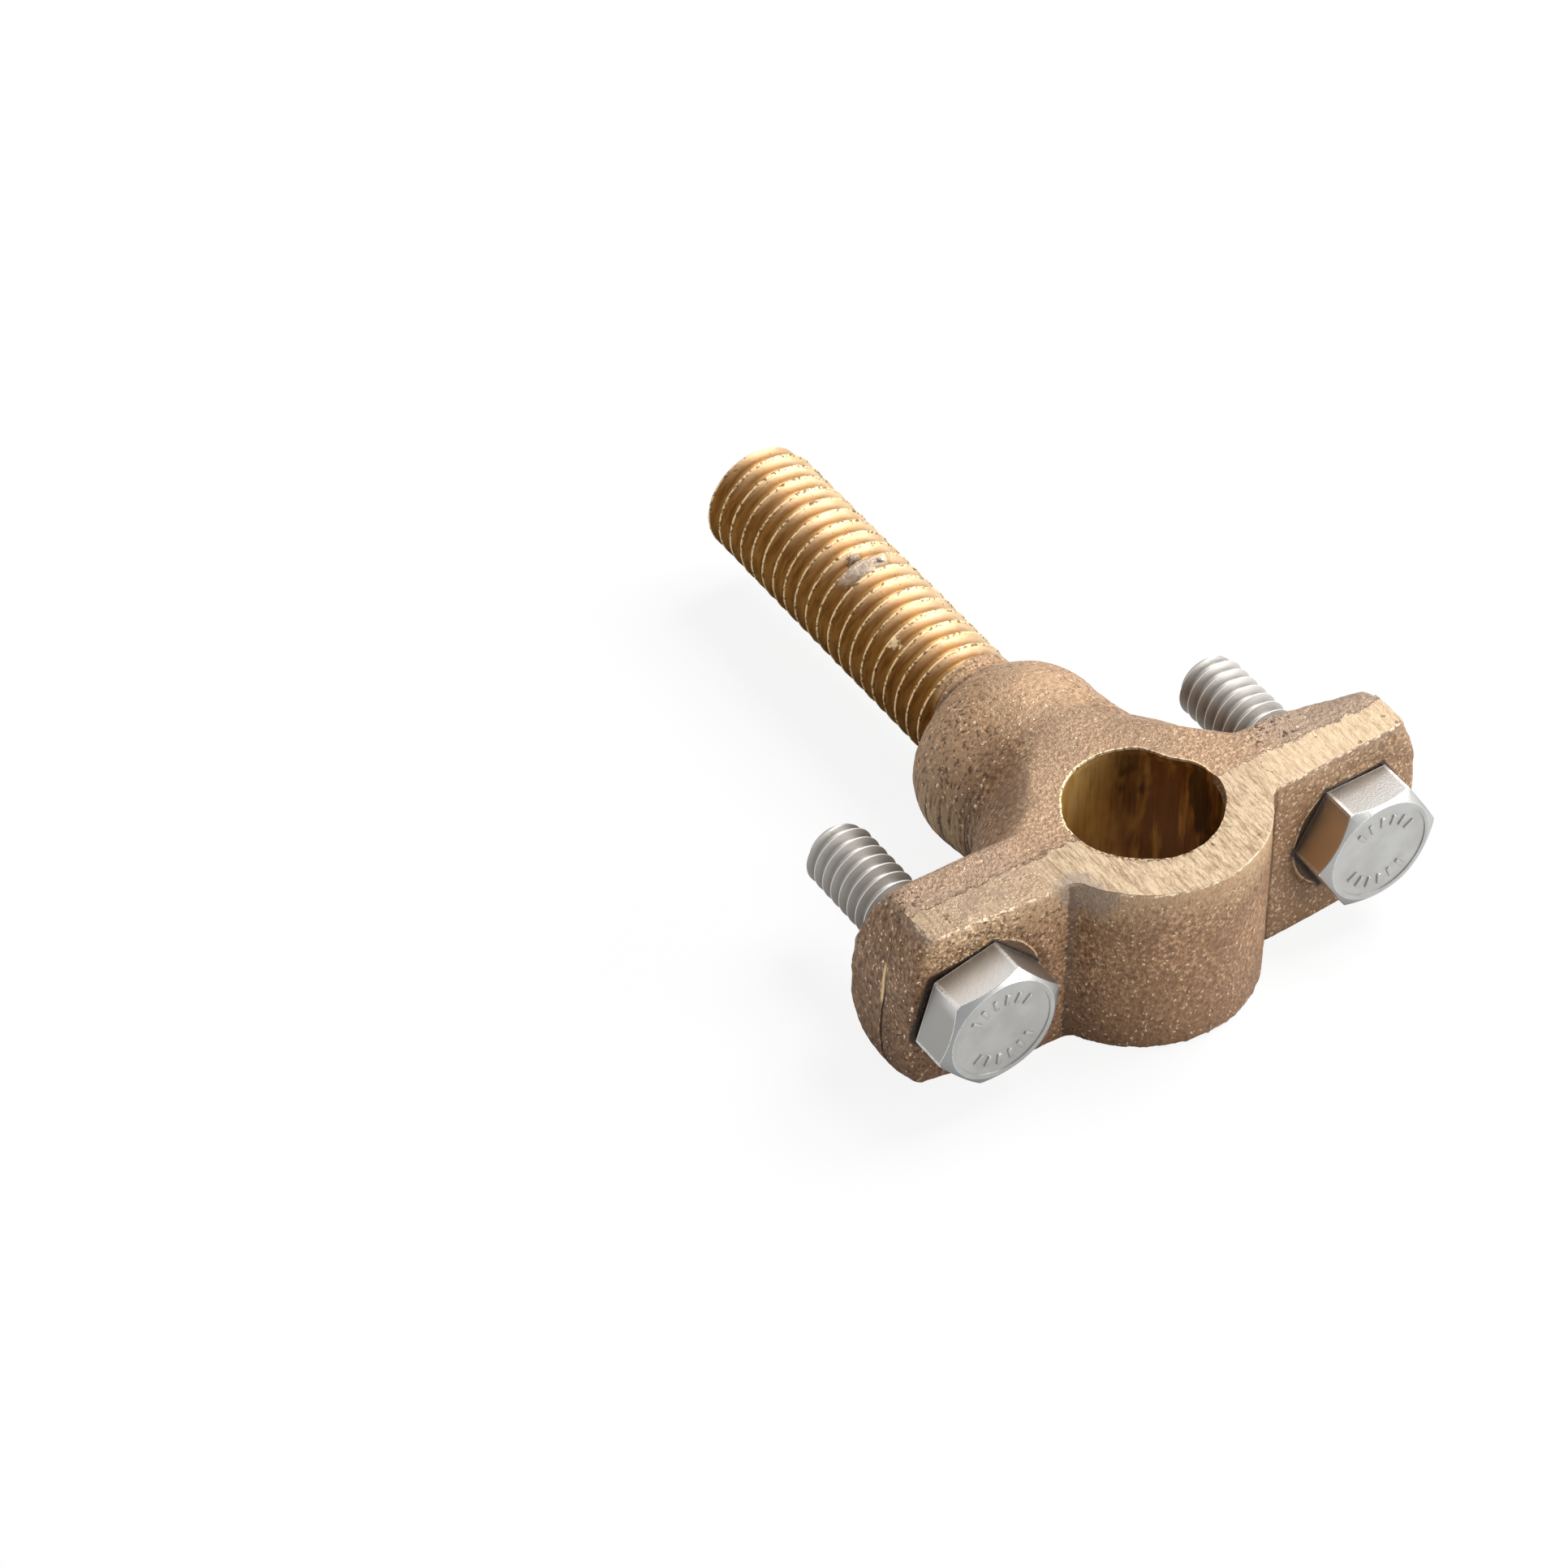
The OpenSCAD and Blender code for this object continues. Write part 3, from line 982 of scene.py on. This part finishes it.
def lip_highlight(f):
    """A painted highlight along the broken edge of the cast lip at the bore's mouth."""
    angle = f.y.math("ARCTAN2", f.y, f.x) * math.degrees(1)
    past_edge = f.from_bore - body_mouth(angle, Wire.ramp)
    lip = past_edge.fall(0.10, 0.22) * f.z.ramp(half_height - 0.4, half_height - 0.2)
    # Painted highlight on the lip's edge.
    f.coat((0.92, 0.74, 0.46), lip * f.sand.ramp(0.36, 0.5) * (0.9 - 0.5 * f.x.ramp(-3.0, 3.0)))


def crease_shade_holes_fin(f):
    """Painted shade in the crease at the stud's foot, small holes in two places, and a thin bright fin at the
    left end.
    """
    crease = f.from_axis(1, 0, 1).fall(STUD_R + 0.065, STUD_R + 0.845) * f.y.ramp(23.0, 23.8)
    frayed = (f.sand - 0.5) * 3
    holed = f.near((14.4, 1.2, 9.0), 2.8, frayed).most(f.near((-23.4, 1.0, 8.6), 2.0, frayed))
    fin = f.y.fall(0.32, 0.45) * (-f.x).ramp(25.5, 25.8) * f.near((-26.0, 0.2, 1.6), 2.6)
    # Painted shade in the crease at the stud's foot.
    f.coat(STUD_CREASE_SHADE, crease * 0.65)
    f.coat((0.030, 0.014, 0.007), holed * f.grain(2.3, 2.0).fall(0.36, 0.44) * 0.9)
    f.coat((0.88, 0.62, 0.33), fin * 0.9)


# %% Put the bronze together
def cast_bronze(name, pull, lip_skin, marks):
    """Cast skin with its marks, and gold in the bore up to the skin of the lip."""
    f = Finish(name, Specular_IOR_Level=0.5)
    f.from_bore = f.from_axis(1, 1, 0)
    lip_top = half_height - lip_skin
    hole = f.from_bore.fall(BORE_R + 0.03, BORE_R + 0.08) * f.z.fall(lip_top, lip_top + 0.07)
    gold, pulled = bore_gold(f)
    cast_skin(f, f.stretched(1, 1, pull))
    for mark in marks:
        mark(f)
    f.set(Base_Color=f.mix(f.colour, gold, hole), Roughness=f.rough * (1 - hole) + 0.38 * hole,
          Metallic=f.metal * (1 - hole) + 0.55 * hole,
          Normal=f.bump(f.height * (1 - hole) + pulled * 0.2 * hole, 0.2))
    return f.material


body_marks = (file_strokes, brink_shade, lip_highlight, crease_shade_holes_fin)
cap_marks = (ground_top, seats, shadow_round_heads, corner_shade_and_slit_shadow)
casting.data.materials.append(cast_bronze("cast bronze, body", pull=0.6, lip_skin=0.30, marks=body_marks))
cap.data.materials.append(cast_bronze("cast bronze, cap", pull=0.85, lip_skin=0.10, marks=cap_marks))
print("bronze finishes:", [m.name for p in (casting, cap) for m in p.data.materials])

# %% [markdown]
# ### Cut thread
# The stud's thread was cut with a die: bright gold on its flanks, with painted shade in its roots and a thin
# torn burr on the crests that is painted pale as a highlight. Its upper right side is painted lit, and its
# lower left in brown shade. The end is sawn, with a pale chamfer round it, freshly cut and partly a painted
# highlight. Rings could be painted by height along the stud, but the distance from the axis tells root from
# crest wherever the thread winds. Where the skin attribute is 1 the casting shows instead.

# %% The gold of the thread, and of its sawn end
def thread_gold(f, radius, turned, dots):
    """Colour of the thread: painted brown shade to painted light across the stud, painted shade in the roots,
    a painted highlight on the burred crests with torn places, dark dots.
    """
    # Painted light and shade: the upper right of the stud painted lit, the lower left in brown shade.
    lit_side = (f.z * 0.75 + f.x * 0.66 + (f.grain(0.35, 2.0) - 0.5) * 2.0).ramp(-0.8, 5.0)
    # Painted shade in the roots.
    root = radius.fall(STUD_R - 0.95, STUD_R - 0.2)
    # Painted highlight on the burred crests.
    burr_and_highlight = radius.ramp(STUD_R - 0.08, STUD_R - 0.03)
    torn = radius.ramp(STUD_R - 0.2, STUD_R - 0.1) * dots.fall(0.40, 0.47)
    shaded_brown = f.mix((0.19, 0.083, 0.018), (0.31, 0.155, 0.040), turned.ramp(0.3, 0.7))
    bright = f.mix((0.57, 0.405, 0.235), (0.67, 0.505, 0.335), turned.ramp(0.3, 0.7))
    f.colour = f.mix(shaded_brown, f.mix(bright, (0.30, 0.150, 0.042), root * 0.8), lit_side)
    f.coat((0.80, 0.62, 0.37), burr_and_highlight * 0.75)
    f.coat((0.09, 0.045, 0.015), torn * 0.8)
    f.coat((0.10, 0.050, 0.016), dots.fall(0.24, 0.31) * 0.8)


def sawn_end(f, radius):
    """The sawn end with its scratches, and the pale chamfer round it: fresh cut metal, partly a painted
    highlight.
    """
    scratches = f.grain(1.0, 3.0, f.stretched(0.25, 1.0, 5.0), rough=0.6).ramp(0.35, 0.65)
    sawn = f.mix((0.36, 0.245, 0.140), (0.60, 0.455, 0.300), scratches)
    chamfer = f.y.ramp(tip_y - 0.72, tip_y - 0.60) * radius.ramp(3.9, 4.4)
    f.coat(sawn, f.y.ramp(tip_y - 0.3, tip_y - 0.1) * 0.9)
    # Pale chamfer: fresh cut metal, partly a painted highlight.
    f.coat((0.62, 0.485, 0.335), chamfer * 0.8)


# %% The stud's finish
def cut_gold():
    """The thread's gold, with cast skin where the attribute says so."""
    f = Finish("cut thread gold")
    cast = f.node("Attribute", {"attribute_name": "skin"}, {}, "Fac")
    radius = f.from_axis(1, 0, 1)
    turned = f.grain(1.0, 3.0, f.stretched(0.5, 4.0, 0.5))
    dots = f.grain(3.0, 2.0)
    frayed = (dots - 0.5) * 1.6
    thread_gold(f, radius, turned, dots)
    f.coat((0.92, 0.76, 0.50), f.near((-3.3, 32.8, 4.25), 0.7, frayed))
    sawn_end(f, radius)
    gold = f.colour
    cast_skin(f, f.place)
    f.coat((0.47, 0.40, 0.325), f.y.ramp(30, 32) * 0.65)
    f.coat((0.03, 0.016, 0.008), f.near((1.2, 41.85, 5.3), 0.55, frayed) * 0.9)
    f.coat((0.95, 0.82, 0.58), f.near((2.0, 42.1, 5.0), 0.5, frayed) * 0.9)
    # Painted shade at the stud's foot, where it meets the body.
    f.coat(STUD_CREASE_SHADE, f.y.fall(24.35, 24.95) * 0.65)
    f.set(Base_Color=f.mix(gold, f.colour, cast), Metallic=1 - 0.65 * cast,
          Roughness=(0.47 + 0.08 * turned) * (1 - cast) + f.rough * cast,
          Normal=f.bump(turned * 0.12 + dots * 0.1 + f.height * cast, 0.2))
    return f.material


stud.data.materials.append(cut_gold())
print("stud finish:", stud.data.materials[0].name)

# %% [markdown]
# ### Stainless steel
# The bolts are satin grey, smooth on the heads and duller on the threads, with painted shade in the roots and
# painted highlights on the crests. One grey would do from afar, but up close the turned cone, the facets and
# the broken edges of a head differ a little, and their light, shade and the bronze's reflection are painted
# into the grey. The recipe finds them by their distance from the bolt's axis and their depth below the cone.

# %% The head's parts
def head_steel(f, from_axis, tail, fine):
    """Paints shade on the turned cone, most on its left, and on the facets, light on the upper left facet, a
    reflection of the bronze on the facet next to it, and highlights along the edges.
    """
    on_right = f.x.ramp(-1.0, 1.0)
    beside = f.x - (on_right * 2 - 1) * bolt_x
    depth = f.y - front_y - (from_axis - face_r) * CONE_SLOPE
    outside = from_axis.ramp(face_r + 0.1, face_r + 0.2)
    cone = from_axis.ramp(face_r - 0.04, face_r + 0.02) * depth.fall(0.02, 0.08)
    facet = outside * depth.ramp(0.08, 0.16) * (1 - tail)
    upper_left_light = facet * f.z.ramp(3.0, 4.5) * (1 - on_right) * (-f.y).ramp(4.8, 7.2) * beside.fall(0.5, 3.0)
    bronze_reflection = facet * f.x.ramp(0, 1) * (-beside).ramp(2.5, 4.2)
    rim = abs(from_axis - face_r).fall(0.03, 0.07) * depth.fall(0.08, 0.12) * 0.5
    brow = abs(depth - 0.10).fall(0.03, 0.06) * outside
    edge = from_axis.ramp(corner_r - 0.16, corner_r - 0.10).most(brow).most(rim) * (1 - tail)
    # Painted shade on the turned cone, darkest on its left.
    f.coat((0.285, 0.286, 0.285), cone * (0.25 + 0.75 * (-beside).ramp(-1.0, 4.0)) * (1 - 0.5 * on_right))
    # Painted shade on the facets.
    f.coat((0.32, 0.310, 0.295), facet * 0.85)
    # Painted light on the upper left facet of the left bolt.
    f.coat((0.62, 0.605, 0.58), upper_left_light * 0.9)
    # Painted reflection of the bronze on the facet that faces it.
    f.coat((0.70, 0.52, 0.33), bronze_reflection * (0.25 + 0.5 * (-f.y).ramp(4.6, 6.5)))
    # Painted highlights along the edges and rims.
    f.coat((0.70, 0.70, 0.69), edge * fine.ramp(0.3, 0.5) * 0.8)


# %% The bolts' finish
def satin_steel():
    """Satin grey heads, and duller threads with painted shade in the roots and painted highlights on the
    crests.
    """
    f = Finish("satin stainless", Metallic=1.0)
    cloud = f.grain(0.35, 3.0)
    fine = f.grain(5.0, 2.0)
    from_axis = from_bolt_axis(f)
    tail = f.y.ramp(SEAT_Y - 0.15, SEAT_Y)
    root = from_axis.fall(BOLT_R - 0.6, BOLT_R - 0.1) * tail
    crest = from_axis.ramp(BOLT_R - 0.05, BOLT_R - 0.02) * tail
    f.colour = f.mix((0.375, 0.372, 0.36), (0.43, 0.43, 0.42), cloud.ramp(0.35, 0.65))
    head_steel(f, from_axis, tail, fine)
    f.coat((0.47, 0.452, 0.425), tail)
    # Painted shade in the roots.
    f.coat((0.23, 0.217, 0.198), root * 0.6)
    # Painted highlight on the crests.
    f.coat((0.62, 0.61, 0.59), crest * 0.7)
    f.set(Base_Color=f.colour, Roughness=0.36 + 0.06 * cloud + 0.16 * tail,
          Normal=f.bump(fine * 0.6 + cloud * 0.3, 0.02))
    return f.material


steel = satin_steel()
for bolt in bolts.values():
    bolt.data.materials.append(steel)
print("bolt finish:", steel.name)

# %% [markdown]
# ## Riding on the bodies
# On the real clamp the cap slides forward as its bolts are undone. Every piece here follows one body of the
# CAD model and hides the solid it stands for. Parenting by hand would do for one pose, but these calls keep
# the pieces with their bodies in every pose.

# %% Ride and replace
for piece, body, node, slot in ((casting, "body", "stud_body", "cast_bronze"),
                                (cap, "cap", "clamp_cap", "cast_bronze"),
                                (bolts["left_bolt_steel"], "bolt_left", "left_bolt", "stainless"),
                                (bolts["right_bolt_steel"], "bolt_right", "right_bolt", "stainless")):
    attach(piece, body)
    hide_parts(node)
    print(piece.name, "rides on", body, "and stands for", node)
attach(stud, "body")
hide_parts("stud_body")
print(stud.name, "rides on body and stands for stud_body")

# %% [markdown]
# ## The studio
# The clamp lies on a pale floor in a white room, under two soft lamps. More light would make the floor white
# but would bleach the metal as well. So the lamps stay low, and Light Path tells the rays apart: the room is
# white to the camera and in the metal, and the floor shows mostly its own glow to the camera, with enough
# of its matt paper left to keep a soft shadow.

# %% The floor
FLOOR_SIZE, FLOOR_GAP = 6, 0.00002
FLOOR_GLOW, FLOOR_IN_METAL = 0.88, 0.1


def seen_share(recipe, camera, metal):
    """A share for rays from the camera, another for rays from metal and through glass, 0 for the rest."""
    rays = (("Is Camera Ray", camera), ("Is Glossy Ray", metal), ("Is Transmission Ray", metal))
    shares = [recipe.node("LightPath", {}, {}, ray) * amount for ray, amount in rays]
    return shares[0].most(shares[1]).most(shares[2])


clear_bench()
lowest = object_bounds()[0][2]
bpy.ops.mesh.primitive_plane_add(size=FLOOR_SIZE, location=(0, 0, lowest - FLOOR_GAP))
floor = bpy.context.object
floor.name = "floor"

paper = Finish("white paper", Base_Color=(0.82, 0.82, 0.82), Roughness=1.0, Specular_IOR_Level=0.0)
matt = Wire(paper, paper.shader.outputs[0])
glow = paper.node("Emission", {}, {"Strength": 1.0})
seen = seen_share(paper, FLOOR_GLOW, FLOOR_IN_METAL)
blend = paper.node("MixShader", {}, {0: seen, 1: matt, 2: glow})
paper.feed(paper.tree.nodes["Material Output"].inputs["Surface"], blend)
floor.data.materials.append(paper.material)
print("floor height in mm:", round(lowest / MM, 3))

# %% The room
ROOM_LIGHT, ROOM_SEEN = 0.27, 1.0
room = bpy.data.worlds.new("white room")
bpy.context.scene.world = room
room.use_nodes = True
air = Recipe(room.node_tree)
seen = seen_share(air, 1.0, 1.0)
level = air.node("MapRange", {}, {"Value": seen, "To Min": ROOM_LIGHT, "To Max": ROOM_SEEN})
sky = room.node_tree.nodes["Background"]
air.feed(sky.inputs["Color"], (1, 1, 1))
air.feed(sky.inputs["Strength"], level)
print("room light:", ROOM_LIGHT, "and as seen:", ROOM_SEEN)

# %% Lamps
LAMP_AIM = (0, 0.01, 0)


def soft_lamp(name, place, width, height, watts):
    """A softbox that looks at the clamp."""
    bpy.ops.object.light_add(type="AREA", location=place)
    lamp = bpy.context.object
    lamp.name = name
    lamp.data.shape = "RECTANGLE"
    lamp.data.size, lamp.data.size_y = width, height
    lamp.data.energy = watts
    lamp.rotation_euler = (Vector(LAMP_AIM) - Vector(place)).to_track_quat("-Z", "Y").to_euler()
    print(name, "watts:", watts)


soft_lamp("top softbox", place=(0.36, 0.04, 0.56), width=0.4, height=0.4, watts=5.8)
soft_lamp("front right softbox", place=(0.40, -0.52, 0.20), width=0.3, height=0.4, watts=3.4)

# %% Camera
# The place, the turns in degrees and the lens were fitted to points of the clamp in the photograph.
CAMERA_PLACE = (-0.215100, -0.276529, 0.342507)
LOOKS_DOWN, LOOKS_ROUND = 43.4917, -32.9005
LENS_PIXELS, PHOTO_PIXELS, SENSOR = 7000, 1932, 36

bpy.ops.object.camera_add(location=CAMERA_PLACE,
                          rotation=(math.radians(90 - LOOKS_DOWN), 0, math.radians(LOOKS_ROUND)))
camera = bpy.context.object
camera.data.lens = LENS_PIXELS / PHOTO_PIXELS * SENSOR
camera.data.sensor_width = SENSOR
camera.data.clip_start = 0.01
bpy.context.scene.camera = camera
bpy.context.scene.view_settings.view_transform = "Standard"
print("lens in mm:", round(camera.data.lens, 1))
